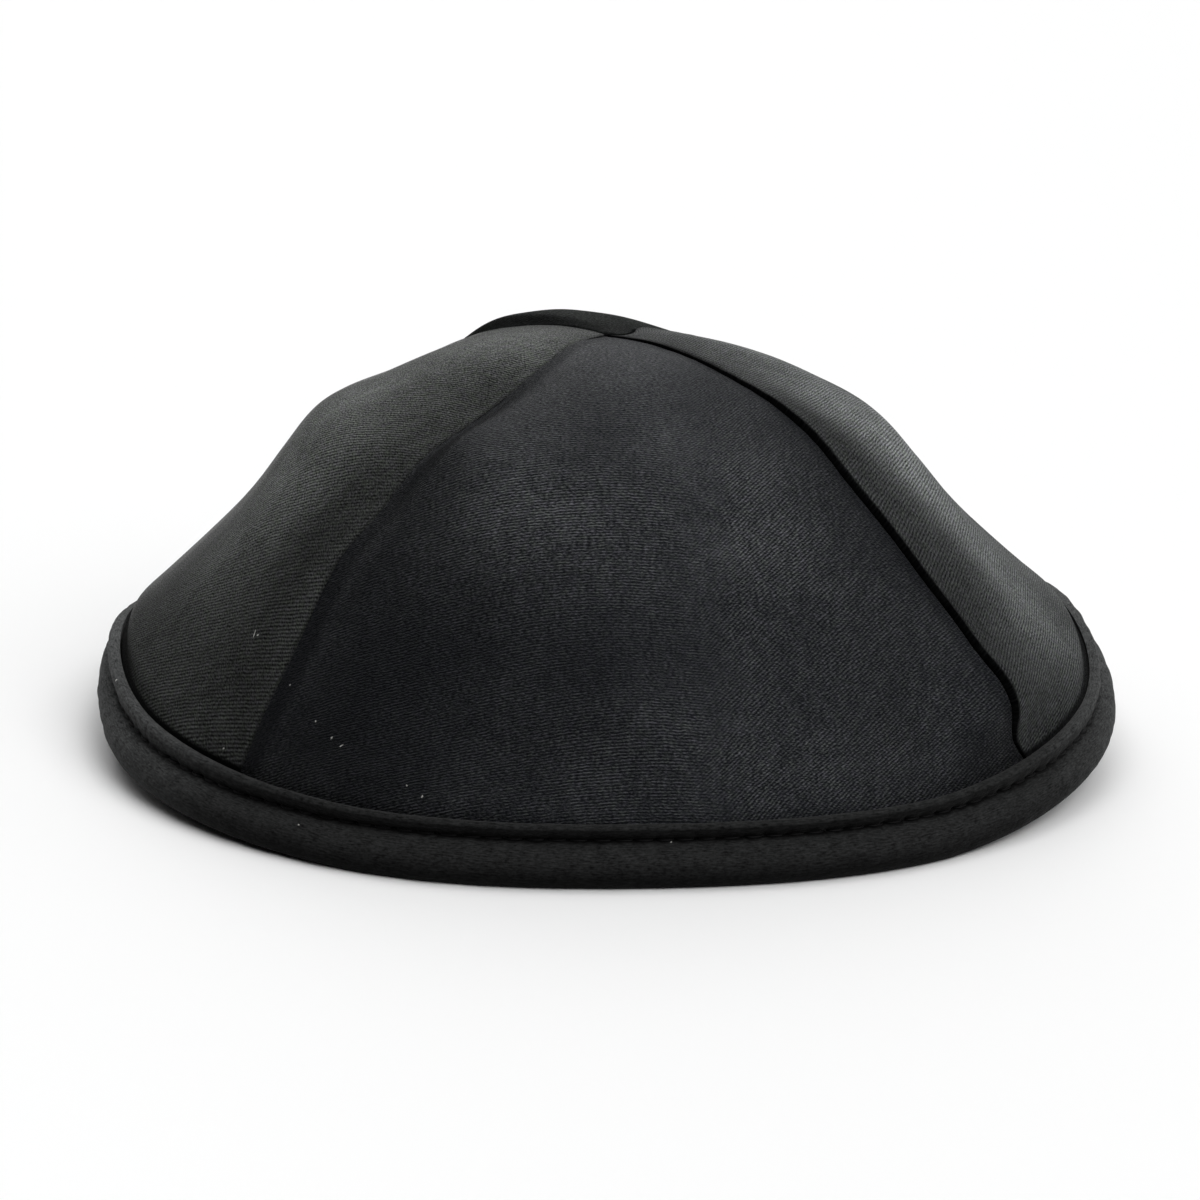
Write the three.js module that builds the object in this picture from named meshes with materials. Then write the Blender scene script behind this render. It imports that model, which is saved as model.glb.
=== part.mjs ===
// A satin skullcap (kippah) of four sewn panels with a bound rim, standing on its rim.
// Millimetres, +Z up. The origin is the centre of the rim, on the surface that the cap stands on.
// The front panel faces -Y and the right one +X, so the four seams run down the diagonals.
import * as THREE from "three";

// Cloth
const wall = 1.2; // panel thickness: satin with its backing
const seamGap = 0.3; // left open between the edges of two panels
const slotGap = 0.35; // left open on each side of a panel inside the binding

// Rim. Each row is a station, and they follow each other every 30 degrees from the front towards the
// right-hand side: how far the rim stands out of its circle there, how far it rises off the table,
// and how much more it leans inwards for each millimetre of height.
const rimRadius = 88;
const rimStations = [
  { out: -1.4, lift: 0, lean: 0 }, // front
  { out: 1.4, lift: 0, lean: 0 },
  { out: 1.8, lift: 4.5, lean: -0.05 },
  { out: -2.6, lift: 10, lean: -0.16 }, // right-hand side
  { out: -0.5, lift: 6, lean: -0.15 },
  { out: 0.9, lift: 0, lean: 0 },
  { out: -1.4, lift: 0, lean: 0 }, // back
  { out: 0.9, lift: 0, lean: 0 },
  { out: -3, lift: 4, lean: -0.3 },
  { out: -4, lift: 6.5, lean: -0.35 }, // left-hand side
  { out: 1.4, lift: 2.3, lean: 0.05 },
  { out: 1.4, lift: 0, lean: 0 },
];
const liftFade = 1.5; // how soon the lift dies away up the panels

// Binding, a folded strip that wraps the panels' lower edge. Its two legs lean inwards with them.
const bindingLean = 0.45; // inwards, for each millimetre of height
const panelInset = 3.2; // from the rim's outside to a panel's outer face, at the panel's lower edge
const panelEdgeHeight = 3.2;
const slotFloor = 2.3;
const slotMouth = 8.2; // height of the slot's outer edge
const innerLeg = { thickness: 1, height: 7.8 };

// The binding's outer face, from the flat that it stands on up to its upper edge
const bindingFace = [
  { inset: 1, height: 0 },
  { inset: 0.2, height: 0.6 },
  { inset: 0, height: 1.8 },
  { inset: 0.5, height: 3.8 },
  { inset: 1.6, height: 5.6 },
  { inset: 3, height: 6.3 }, // groove that the line of stitching pulls in
  { inset: 2.9, height: 6.8 },
  { inset: 3.4, height: 8.1 },
  { inset: 4.1, height: 8.6 },
];

// Crown. Each row is a section from the tip to the lower edge: the radius and height of the seam
// line, and those of the middle of a panel. The panels lie inside the seams below the shoulder.
const bindingCover = 9.5; // height up to which the panels follow the binding
const panelFaceAt = (height) => rimRadius - panelInset - bindingLean * (height - panelEdgeHeight);
const sections = [
  { seamRadius: 0, seamHeight: 64.7, panelRadius: 0, panelHeight: 64.7 },
  { seamRadius: 9, seamHeight: 64.4, panelRadius: 10, panelHeight: 64.9 },
  { seamRadius: 18, seamHeight: 62.3, panelRadius: 20, panelHeight: 63.5 },
  { seamRadius: 27, seamHeight: 59.4, panelRadius: 30, panelHeight: 60.3 },
  { seamRadius: 36, seamHeight: 55.9, panelRadius: 39, panelHeight: 55.7 },
  { seamRadius: 45, seamHeight: 51.3, panelRadius: 47.5, panelHeight: 50.3 },
  { seamRadius: 53.5, seamHeight: 44.6, panelRadius: 53.8, panelHeight: 42.7 },
  { seamRadius: 61.3, seamHeight: 38.1, panelRadius: 59, panelHeight: 35.5 },
  { seamRadius: 68, seamHeight: 31.3, panelRadius: 64.2, panelHeight: 28.7 },
  { seamRadius: 73.6, seamHeight: 24.3, panelRadius: 70, panelHeight: 22.1 },
  { seamRadius: 78.6, seamHeight: 17.1, panelRadius: 76, panelHeight: 15.7 },
  ...[bindingCover, (bindingCover + panelEdgeHeight) / 2, panelEdgeHeight].map((height) => ({
    seamRadius: panelFaceAt(height),
    seamHeight: height,
    panelRadius: panelFaceAt(height),
    panelHeight: height,
  })),
];
const topHeight = sections[0].seamHeight;
const straightShare = 0.6; // of a panel's cross-section: the rest of it is round

// Soft bulges (out above 0) and hollows (out below 0) that the cap keeps from being folded.
// Azimuths are in degrees from the front, towards the right-hand side.
const folds = [
  { azimuth: -100, halfAngle: 28, radius: 48, halfWidth: 8, out: 1 }, // left shoulder
  { azimuth: 195, halfAngle: 45, radius: 20, halfWidth: 12, out: 1.8 }, // back panel, on the crown
  { azimuth: 46, halfAngle: 8, radius: 80, halfWidth: 6, out: 2.4 }, // right seam, near the rim
  { azimuth: 34, halfAngle: 7, radius: 80, halfWidth: 6, out: -1.2 }, // front panel, beside it
  { azimuth: 45, halfAngle: 16, radius: 32, halfWidth: 14, out: 1.7 }, // right seam, on the crown
  { azimuth: -45, halfAngle: 16, radius: 32, halfWidth: 14, out: -1.7 }, // left seam, on the crown
];
const foldRoom = 6; // height above the binding over which the folds die away

// Mesh
const panelColumns = 14;
const panelRows = 20;
const rimColumns = 96;

const quarter = Math.PI / 2;
const { clamp, degToRad, smoothstep } = THREE.MathUtils;

// A profile point is a Vector2 of radius and height. Azimuth 0 is the front, a quarter turn the
// right-hand side.
function atAzimuth(azimuth, profilePoint) {
  const { x: radius, y: height } = profilePoint;
  return new THREE.Vector3(radius * Math.sin(azimuth), -radius * Math.cos(azimuth), height);
}

const rimCurve = new THREE.CatmullRomCurve3(
  rimStations.map(({ out, lift, lean }) => new THREE.Vector3(out, lift, lean)),
  true,
  "catmullrom",
);

// How far the rim at this azimuth moves a point that is height above its base, as a Vector2.
function rimShift(azimuth, height) {
  const turns = azimuth / (2 * Math.PI);
  const { x: out, y: lift, z: lean } = rimCurve.getPoint(turns - Math.floor(turns));
  return new THREE.Vector2(out - lean * height, Math.max(0, lift));
}

// 0 in the middle of a panel, 1 at its seams
function seamShare(azimuth) {
  const fromMiddle = azimuth - quarter * Math.round(azimuth / quarter);
  const straight = (1 / Math.cos(fromMiddle) - 1) / (Math.SQRT2 - 1);
  const round = Math.sin(2 * fromMiddle) ** 2;
  return straightShare * straight + (1 - straightShare) * round;
}

function foldOut(azimuth, radius, height) {
  let out = 0;
  for (const fold of folds) {
    const turn = azimuth - degToRad(fold.azimuth);
    const aside = Math.atan2(Math.sin(turn), Math.cos(turn)) / degToRad(fold.halfAngle);
    const beyond = (radius - fold.radius) / fold.halfWidth;
    out += fold.out * Math.exp(-aside * aside - beyond * beyond);
  }
  return out * smoothstep(height, bindingCover, bindingCover + foldRoom);
}

function sectionCurve(radiusColumn, heightColumn) {
  return new THREE.SplineCurve(
    sections.map((row) => new THREE.Vector2(row[radiusColumn], row[heightColumn])),
  );
}
const seamCurve = sectionCurve("seamRadius", "seamHeight");
const panelCurve = sectionCurve("panelRadius", "panelHeight");

// The crown's outer face without its folds. share runs from 0 at the tip to 1 at the lower edge.
function plainProfile(azimuth, share) {
  const point = panelCurve.getPoint(share).lerp(seamCurve.getPoint(share), seamShare(azimuth));
  const fall = clamp((topHeight - point.y) / (topHeight - bindingCover), 0, 1);
  const shift = rimShift(azimuth, Math.min(point.y, bindingCover));
  return point.add(new THREE.Vector2(fall * shift.x, fall ** liftFade * shift.y));
}

// Unit vector out of the cloth, in the upright plane through the axis.
function outOf(profile, azimuth, share) {
  const step = 1e-3;
  const middle = clamp(share, step, 1 - step);
  const down = profile(azimuth, middle + step).sub(profile(azimuth, middle - step));
  return new THREE.Vector2(-down.y, down.x).normalize();
}

function crownProfile(azimuth, share) {
  const point = plainProfile(azimuth, share);
  const above = point.y - rimShift(azimuth, 0).y;
  const out = foldOut(azimuth, point.x, above);
  return point.addScaledVector(outOf(plainProfile, azimuth, share), out);
}

function innerProfile(azimuth, share) {
  return crownProfile(azimuth, share).addScaledVector(outOf(crownProfile, azimuth, share), -wall);
}

function indexedGeometry(points, index) {
  const geometry = new THREE.BufferGeometry().setFromPoints(points);
  geometry.setIndex(index);
  geometry.computeVertexNormals();
  return geometry;
}

// A panel is a tall triangle of cloth with its tip at the middle of the crown. Every row is a loop
// that crosses its outer face and comes back along its inner one.
function panelGeometry(middle) {
  const loopSize = 2 * (panelColumns + 1);
  const tipAt = seamGap / Math.SQRT2;
  const points = [
    atAzimuth(middle, new THREE.Vector2(tipAt, topHeight)),
    atAzimuth(middle, new THREE.Vector2(tipAt, topHeight - wall)),
  ];
  for (let row = 1; row <= panelRows; row++) {
    const share = row / panelRows;
    const halfAngle = quarter / 2 - Math.asin(seamGap / 2 / plainProfile(middle, share).x);
    const azimuths = [];
    for (let column = 0; column <= panelColumns; column++) {
      azimuths.push(middle + halfAngle * ((2 * column) / panelColumns - 1));
    }
    points.push(...azimuths.map((azimuth) => atAzimuth(azimuth, crownProfile(azimuth, share))));
    azimuths.reverse();
    points.push(...azimuths.map((azimuth) => atAzimuth(azimuth, innerProfile(azimuth, share))));
  }
  const vertex = (row, place) => 2 + (row - 1) * loopSize + (place % loopSize);
  const index = [];
  for (let place = 0; place < loopSize; place++) {
    const tip = place < panelColumns ? 0 : 1;
    index.push(tip, vertex(1, place), vertex(1, place + 1));
    for (let row = 1; row < panelRows; row++) {
      index.push(vertex(row, place), vertex(row + 1, place), vertex(row + 1, place + 1));
      index.push(vertex(row, place), vertex(row + 1, place + 1), vertex(row, place + 1));
    }
  }
  index.push(0, vertex(1, panelColumns), 1, 1, vertex(1, 0), 0);
  for (let column = 0; column < panelColumns; column++) {
    const outer = vertex(panelRows, column);
    const outerNext = vertex(panelRows, column + 1);
    const inner = vertex(panelRows, loopSize - 1 - column);
    const innerNext = vertex(panelRows, loopSize - 2 - column);
    index.push(outer, inner, innerNext, outer, innerNext, outerNext);
  }
  return indexedGeometry(points, index);
}

// The binding's section as insets from the rim's outside and heights: up its outer face, down into
// the slot, up and over the inner leg, and down to the flat.
function bindingSection() {
  const slot = { outer: -slotGap, inner: wall * Math.hypot(1, bindingLean) + slotGap };
  const insetAt = (height, beyond) => rimRadius - panelFaceAt(height) + beyond;
  const leg = slot.inner + innerLeg.thickness;
  return [
    ...bindingFace,
    { inset: insetAt(slotMouth, slot.outer), height: slotMouth },
    { inset: insetAt(slotFloor, slot.outer), height: slotFloor },
    { inset: insetAt(slotFloor, slot.inner), height: slotFloor },
    { inset: insetAt(innerLeg.height, slot.inner), height: innerLeg.height },
    { inset: insetAt(innerLeg.height, leg), height: innerLeg.height },
    { inset: insetAt(slotFloor, leg), height: slotFloor },
    { inset: insetAt(0, slot.inner), height: 0 },
  ].map(({ inset, height }) => new THREE.Vector2(rimRadius - inset, height));
}

function bindingGeometry() {
  const section = bindingSection();
  const points = [];
  const index = [];
  for (let column = 0; column < rimColumns; column++) {
    const azimuth = (column / rimColumns) * 2 * Math.PI;
    for (const point of section) {
      points.push(atAzimuth(azimuth, point.clone().add(rimShift(azimuth, point.y))));
    }
    const here = column * section.length;
    const next = ((column + 1) % rimColumns) * section.length;
    for (let place = 0; place < section.length; place++) {
      const above = (place + 1) % section.length;
      index.push(here + place, next + place, next + above);
      index.push(here + place, next + above, here + above);
    }
  }
  return indexedGeometry(points, index);
}

function namedMesh(name, geometry, finish) {
  const mesh = new THREE.Mesh(geometry, new THREE.MeshStandardMaterial({ metalness: 0, ...finish }));
  mesh.name = name;
  return mesh;
}

const kippah = new THREE.Group();
["panel_front", "panel_right", "panel_back", "panel_left"].forEach((name, place) => {
  const satin = { color: 0x202124, roughness: 0.45 };
  kippah.add(namedMesh(name, panelGeometry(place * quarter), satin));
});
kippah.add(namedMesh("rim_binding", bindingGeometry(), { color: 0x1b1b1c, roughness: 0.6 }));

export default kippah;
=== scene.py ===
import math

import bpy
import numpy as np
from mathutils import Matrix, Vector


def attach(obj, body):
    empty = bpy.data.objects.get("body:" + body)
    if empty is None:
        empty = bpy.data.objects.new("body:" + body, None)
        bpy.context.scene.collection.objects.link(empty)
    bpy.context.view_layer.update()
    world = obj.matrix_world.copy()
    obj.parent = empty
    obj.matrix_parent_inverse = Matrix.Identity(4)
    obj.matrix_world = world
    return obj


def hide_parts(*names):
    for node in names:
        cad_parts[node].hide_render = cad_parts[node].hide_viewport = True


# A black satin kippah: four sewn panels, a folded binding round the rim and its stitching.
# Lengths in the dictionaries are millimetres and angles degrees; azimuth 0 is the front panel's
# middle and 90 the right one's. Meshes are made in metres.

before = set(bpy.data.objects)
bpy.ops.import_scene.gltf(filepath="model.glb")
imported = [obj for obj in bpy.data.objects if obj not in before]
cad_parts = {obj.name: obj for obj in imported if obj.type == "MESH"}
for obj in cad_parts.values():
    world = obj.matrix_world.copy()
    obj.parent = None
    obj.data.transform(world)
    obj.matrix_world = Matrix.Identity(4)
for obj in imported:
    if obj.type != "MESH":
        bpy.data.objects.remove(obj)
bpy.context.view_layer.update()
mm = 0.001


# A table's rows as dictionaries, from one line of names and the values of each row
def rowsOf(names, *rows):
    return [dict(zip(names.split(), row)) for row in rows]


# Camera: where the photograph was taken from

camera = {
    "aim": (0, 0, 18.3),
    "distance": 440,
    "azimuth": -6.2,
    "elevation": 16,
    "roll": 1.3,  # the cap's right-hand side lies lower in the frame
    "focal": 76.14,
    "sensor": 36,
    "clip": (10, 50000),
}


def makeCamera():
    data = bpy.data.cameras.new("photo_camera")
    data.sensor_width = camera["sensor"]
    data.lens = camera["focal"]
    data.clip_start, data.clip_end = (far * mm for far in camera["clip"])
    obj = bpy.data.objects.new("photo_camera", data)
    bpy.context.scene.collection.objects.link(obj)
    turn, rise = math.radians(camera["azimuth"]), math.radians(camera["elevation"])
    back = Vector((math.sin(turn) * math.cos(rise), -math.cos(turn) * math.cos(rise), math.sin(rise)))
    obj.location = (Vector(camera["aim"]) + back * camera["distance"]) * mm
    roll = Matrix.Rotation(math.radians(camera["roll"]), 3, "Z")
    obj.rotation_euler = ((-back).to_track_quat("-Z", "Y").to_matrix() @ roll).to_euler()
    bpy.context.scene.camera = obj


# Shape of the cap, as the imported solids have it

rim = {
    "radius": 88,
    # Every 30 degrees from the front towards the right-hand side: out of the circle, off the table,
    # and the extra lean inwards for each millimetre of height
    "stations": rowsOf(
        "out lift lean",
        (-1.4, 0, 0), (1.4, 0, 0), (1.8, 4.5, -0.05), (-2.6, 10, -0.16), (-0.5, 6, -0.15),
        (0.9, 0, 0), (-1.4, 0, 0), (0.9, 0, 0), (-3, 4, -0.3), (-4, 6.5, -0.35), (1.4, 2.3, 0.05),
        (1.4, 0, 0),
    ),
    "liftFade": 1.5,
    "cover": 9.5,  # height up to which the panels follow the binding
    "lean": 0.45,  # of the binding and the panels in it
    "panelInset": 3.2,
    "panelEdge": 3.2,
}


def panelFaceAt(height):
    return rim["radius"] - rim["panelInset"] - rim["lean"] * (height - rim["panelEdge"])


crown = {
    "wall": 1.2,
    "straight": 0.6,  # share of a panel's cross-section that is straight
    "foldRoom": 6,  # height over which the folds die away above the binding
    "sections": rowsOf(
        "seamRadius seamHeight panelRadius panelHeight",
        (0, 64.7, 0, 64.7), (9, 64.4, 10, 64.9), (18, 62.3, 20, 63.5),
        (27, 59.4, 30, 60.3), (36, 55.9, 39, 55.7), (45, 51.3, 47.5, 50.3),
        (53.5, 44.6, 53.8, 42.7), (61.3, 38.1, 59, 35.5), (68, 31.3, 64.2, 28.7),
        (73.6, 24.3, 70, 22.1), (78.6, 17.1, 76, 15.7),
        *[
            (panelFaceAt(height), height, panelFaceAt(height), height)
            for height in (rim["cover"], (rim["cover"] + rim["panelEdge"]) / 2, rim["panelEdge"])
        ],
    ),
    # Bulges (out above 0) and hollows that the cap keeps from being folded
    "folds": rowsOf(
        "azimuth halfAngle radius halfWidth out",
        (-100, 28, 48, 8, 1),
        (195, 45, 20, 12, 1.8),
        (46, 8, 80, 6, 2.4),
        (34, 7, 80, 6, -1.2),
        (45, 16, 32, 14, 1.7),
        (-45, 16, 32, 14, -1.7),
    ),
    # Finer ones, which only the cloth has
    "softFolds": [
        {"azimuth": -128, "halfAngle": 20, "radius": 23, "halfWidth": 9, "out": 0.7},  # behind the tip
    ],
}


def column(rows, *names):
    return np.array([[row[name] for name in names] for row in rows], float)


def catmullRom(rows, place, closed=False):
    # Rows are met at the places 0, 1, 2..., or round a closed ring
    count = len(rows)
    here = np.floor(place) if closed else np.clip(np.floor(place), 0, count - 2)
    part = (place - here)[..., None]
    here = here.astype(int)

    def row(step):
        wanted = here + step
        return rows[wanted % count if closed else np.clip(wanted, 0, count - 1)]

    before, first, second, after = row(-1), row(0), row(1), row(2)
    leave, arrive = (second - before) / 2, (after - first) / 2
    return (
        (2 * first - 2 * second + leave + arrive) * part**3
        + (3 * second - 3 * first - 2 * leave - arrive) * part**2
        + leave * part
        + first
    )


def smoothStep(value, low, high):
    share = np.clip((value - low) / (high - low), 0, 1)
    return share * share * (3 - 2 * share)


stationRows = column(rim["stations"], "out", "lift", "lean")
seamRows = column(crown["sections"], "seamRadius", "seamHeight")
panelRows = column(crown["sections"], "panelRadius", "panelHeight")
topHeight = crown["sections"][0]["seamHeight"]


def rimShift(azimuth, height):
    place = azimuth / (2 * np.pi) % 1 * len(stationRows)
    out, lift, lean = np.moveaxis(catmullRom(stationRows, place, True), -1, 0)
    return np.stack([out - lean * height, np.maximum(lift, 0)], -1)


def seamShare(azimuth):
    fromMiddle = azimuth - np.pi / 2 * np.round(azimuth / (np.pi / 2))
    straight = (1 / np.cos(fromMiddle) - 1) / (math.sqrt(2) - 1)
    return crown["straight"] * straight + (1 - crown["straight"]) * np.sin(2 * fromMiddle) ** 2


# Radius and height of the crown's outer face without its folds
def plainProfile(azimuth, share):
    place = share * (len(seamRows) - 1)
    weight = seamShare(azimuth)[..., None]
    point = catmullRom(panelRows, place) * (1 - weight) + catmullRom(seamRows, place) * weight
    fall = np.clip((topHeight - point[..., 1]) / (topHeight - rim["cover"]), 0, 1)
    shift = rimShift(azimuth, np.minimum(point[..., 1], rim["cover"]))
    return point + np.stack([fall * shift[..., 0], fall ** rim["liftFade"] * shift[..., 1]], -1)


def asideOf(azimuth, middle, halfAngle):
    turn = azimuth - math.radians(middle)
    return np.arctan2(np.sin(turn), np.cos(turn)) / math.radians(halfAngle)


def bulge(folds, azimuth, radius):
    out = np.zeros_like(azimuth)
    for fold in folds:
        aside = asideOf(azimuth, fold["azimuth"], fold["halfAngle"])
        beyond = (radius - fold["radius"]) / fold["halfWidth"]
        out += fold["out"] * np.exp(-aside * aside - beyond * beyond)
    return out


def foldOut(folds, azimuth, radius, height):
    fade = smoothStep(height, rim["cover"], rim["cover"] + crown["foldRoom"])
    return bulge(folds, azimuth, radius) * fade


def outOf(profile, azimuth, share):
    step = 1e-3
    middle = np.clip(share, step, 1 - step)
    down = profile(azimuth, middle + step) - profile(azimuth, middle - step)
    normal = np.stack([-down[..., 1], down[..., 0]], -1)
    return normal / np.linalg.norm(normal, axis=-1, keepdims=True)


def crownProfile(azimuth, share):
    point = plainProfile(azimuth, share)
    above = point[..., 1] - rimShift(azimuth, np.zeros_like(azimuth))[..., 1]
    out = foldOut(crown["folds"] + crown["softFolds"], azimuth, point[..., 0], above)
    return point + out[..., None] * outOf(plainProfile, azimuth, share)


def inSpace(azimuth, profile):
    radius, height = profile[..., 0], profile[..., 1]
    return np.stack([radius * np.sin(azimuth), -radius * np.cos(azimuth), height], -1)


# Seams. Each row of drift is a place down the seam and how far it strays there towards the higher
# azimuth; each row of open is the share of its full width there.

seams = [
    {
        "azimuth": -45,
        "gap": 0.02,
        "drift": rowsOf(
            "down aside",
            (0, 0), (8, 0), (18, 1.2), (35, 1), (46, 0), (59, 0.3), (69, -0.7), (83, 0.5),
            (95, 0.5), (107, -0.8), (115, -0.8),
        ),
        "open": rowsOf("down share", (0, 0.1), (25, 0.3), (50, 1)),
    },
    {
        "azimuth": 45,
        "gap": 0.12,
        "drift": rowsOf(
            "down aside",
            (0, 0), (9, 0.4), (20, 0.9), (31, 0.1), (43, 0.1), (52, -0.6), (60, -0.5), (73, -1.1),
            (83, -0.7), (90, -1.4), (96.5, -1), (104, -1.5), (107, -0.3), (110, 0.8), (118, 0.8),
        ),
        "open": rowsOf(
            "down share",
            (0, 0.35), (18, 0.4), (40, 0.75), (55, 1), (85, 1.05), (100, 0.7), (112, 0.4),
        ),
    },
    {
        "azimuth": 135,
        "gap": 0.12,
        "drift": rowsOf(
            "down aside",
            (0, 0), (2.5, -2.6), (4.5, -2.4), (7, -0.6), (10, 0.6), (13, -0.4), (18, -2),
            (30, -1.5), (50, 0), (118, 0),
        ),
        "open": rowsOf("down share", (0, 0.8), (118, 1)),
    },
    {
        "azimuth": 225,
        "gap": 0.1,
        "drift": rowsOf(
            "down aside",
            (0, 0), (5, -0.3), (12, 1), (22, 4), (32, 4), (50, 1), (118, 0),
        ),
        "open": rowsOf("down share", (0, 0.8), (118, 1)),
    },
]

# An edge is one panel's side of a seam, turned in over "turn" and "deep" at the seam itself; a
# higher "curve" turns it more sharply.
edges = rowsOf(
    "azimuth side turn deep curve rise riseWidth band",
    (-45, "below", 0.3, 0, 3, 0, 2.5, 0),
    (-45, "above", 0.3, 0, 3, 0, 3, 0),
    (45, "below", 1.1, 1.7, 2.4, -0.3, 3, 0),
    (45, "above", 0.3, 0.9, 4, 0.25, 2.5, 0),
    (135, "below", 0.4, 0.8, 3, 0.5, 3, 0),
    (135, "above", 1.1, 1.4, 2.4, -0.2, 3, 0),
    (225, "below", 1.4, 1.4, 2, 0, 3, 0),
    (225, "above", 0.4, 0.3, 3, 0.3, 3, 0.1),
)

cloth = {
    "columns": 150,
    "rows": 180,
    "profileSteps": 700,
    "crowding": 0.86,  # how much closer the columns stand at a seam than in the middle
    "allowance": 7,  # seam allowance that lies open under each edge
    "allowanceRise": 0.4,
    "allowanceEdge": 0.5,
    "leastWall": 0.5,
    "puckerPitch": 4.2,
    "puckerOut": 0.02,
    "puckerReach": 3.5,
    "puckerStep": 5,  # between the places where their pitch changes
    "puckerUneven": (0.7, 1.3),
    "longestSeam": 140,
    "rippleOut": 0.05,
    "rippleLengths": (9, 30),
    "rippleTurn": 0.35,  # of the ripples' own directions, from straight down the panel, in radians
    "ripples": 10,
    "creaseCurve": 1.5,
    # Where a form fades in, or a band out: from and to, away from a seam, the rim or the tip
    "bandFromSeam": (5, 8),
    "seamFromRim": (7, 13),
    "seamFromTip": (2, 14),
    "softFromSeam": (0, 7),
    "softFromRim": (7, 24),
    "swellFromSeam": (0, 4),
    "creaseFromTip": (8, 40),
    "allowanceFromRim": (7, 9),
    "smoothBelow": 50,  # angle between faces that are shaded as one
}

panels = [
    {
        "name": "panel_front",
        "piece": "front_panel_cloth",
        "middle": 0,
        "seed": 3,
        "creases": [
            {"across": -46, "lean": 0.48, "out": 2.6, "blunt": 4, "reach": 34},
            {"across": -4, "lean": 0, "out": 0.8, "blunt": 3, "reach": 22},
        ],
        "swells": [],
    },
    {
        "name": "panel_right",
        "piece": "right_panel_cloth",
        "middle": 90,
        "seed": 5,
        "creases": [],
        "swells": [],
    },
    {
        "name": "panel_back",
        "piece": "back_panel_cloth",
        "middle": 180,
        "seed": 8,
        "creases": [],
        # It stands higher than the left panel's edge, just behind the tip
        "swells": [{"azimuth": 222, "halfAngle": 26, "radius": 24, "halfWidth": 14, "out": 1.6}],
    },
    {
        "name": "panel_left",
        "piece": "left_panel_cloth",
        "middle": 270,
        "seed": 13,
        "creases": [{"across": 8, "lean": 0.13, "out": 0.9, "blunt": 4, "reach": 30}],
        "swells": [],
    },
]


def seamAt(azimuth):
    return next(seam for seam in seams if seam["azimuth"] % 360 == azimuth % 360)


def driftOf(seam, down):
    rows = column(seam["drift"], "down", "aside")
    places = np.interp(down, rows[:, 0], np.arange(len(rows)))
    return catmullRom(rows[:, 1:], places)[..., 0]


def alongRows(points):
    steps = np.linalg.norm(np.diff(points, axis=0), axis=-1)
    return np.concatenate([np.zeros((1,) + steps.shape[1:]), np.cumsum(steps, axis=0)])


# How far the outer face stands out near a seam, and how far it is turned in there
def edgeOut(seam, side, away, along, fromRim, generator):
    edge = next(edge for edge in edges if (edge["azimuth"], edge["side"]) == (seam["azimuth"], side))
    rows = column(seam["open"], "down", "share")
    width = np.interp(along, rows[:, 0], rows[:, 1])
    inside = 1 - np.clip(away / (edge["turn"] * width), 0, 1)
    turned = edge["deep"] * width * inside ** edge["curve"]
    raised = edge["rise"] * np.exp(-((away / edge["riseWidth"]) ** 2))
    band = edge["band"] * (1 - smoothStep(away, *cloth["bandFromSeam"]))
    knots = np.arange(0, cloth["longestSeam"], cloth["puckerStep"])
    uneven = generator.uniform(*cloth["puckerUneven"], len(knots))
    phase = np.interp(along, knots, np.cumsum(uneven) * cloth["puckerStep"])
    pucker = np.sin(2 * np.pi * phase / cloth["puckerPitch"]) * np.exp(-away / cloth["puckerReach"])
    free = smoothStep(fromRim, *cloth["seamFromRim"]) * smoothStep(along, *cloth["seamFromTip"])
    return (raised + band + cloth["puckerOut"] * pucker) * free, turned


def rippleOut(pattern, generator):
    low, high = cloth["rippleLengths"]
    out = np.zeros(pattern.shape[:-1])
    for _ in range(cloth["ripples"]):
        length = generator.uniform(low, high)
        turn = generator.uniform(-cloth["rippleTurn"], cloth["rippleTurn"])
        phase = generator.uniform(0, 2 * np.pi)
        across = pattern @ np.array([np.cos(turn), np.sin(turn)])
        out += np.sin(2 * np.pi * across / length + phase) * length / high
    return out * cloth["rippleOut"]


# A soft ridge down the panel, with its sides drawn flat
def creaseOut(crease, pattern):
    away = pattern[..., 0] - crease["across"] - crease["lean"] * pattern[..., 1]
    blunt = crease["blunt"]
    tent = 1 - (np.sqrt(away**2 + blunt**2) - blunt) / crease["reach"]
    fade = smoothStep(pattern[..., 1], *cloth["creaseFromTip"])
    return crease["out"] * np.clip(tent, 0, 1) ** cloth["creaseCurve"] * fade


# Azimuths and shares of a panel's columns and rows, which follow its straying seams, and the
# azimuths that they would have if the seams ran straight down, for the form that goes with them
def panelGrid(panel):
    middle = math.radians(panel["middle"])
    shares = np.linspace(0, 1, cloth["profileSteps"])
    straight = np.full(len(shares), middle)
    fromTip = alongRows(inSpace(straight, crownProfile(straight, shares)))
    shares = np.interp(np.linspace(0, fromTip[-1], cloth["rows"] + 1)[1:], fromTip, shares)
    edges, corners = [], []
    for side in (-1, 1):
        seam = seamAt(panel["middle"] + side * 45)
        azimuth = np.full(len(shares), middle + side * np.pi / 4)
        profile = crownProfile(azimuth, shares)
        down = alongRows(np.concatenate([[[0, 0, topHeight]], inSpace(azimuth, profile)]))[1:]
        corners.append(azimuth - side * seam["gap"] / 2 / profile[:, 0])
        edges.append(corners[-1] + driftOf(seam, down) / profile[:, 0])
    spread = np.linspace(-1, 1, cloth["columns"] + 1)
    spread = spread + cloth["crowding"] * np.sin(np.pi * spread) / np.pi
    azimuths, plain = (
        left[:, None] * (1 - spread) / 2 + right[:, None] * (1 + spread) / 2
        for left, right in (edges, corners)
    )
    return azimuths, plain, np.repeat(shares[:, None], len(spread), axis=1)


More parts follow.
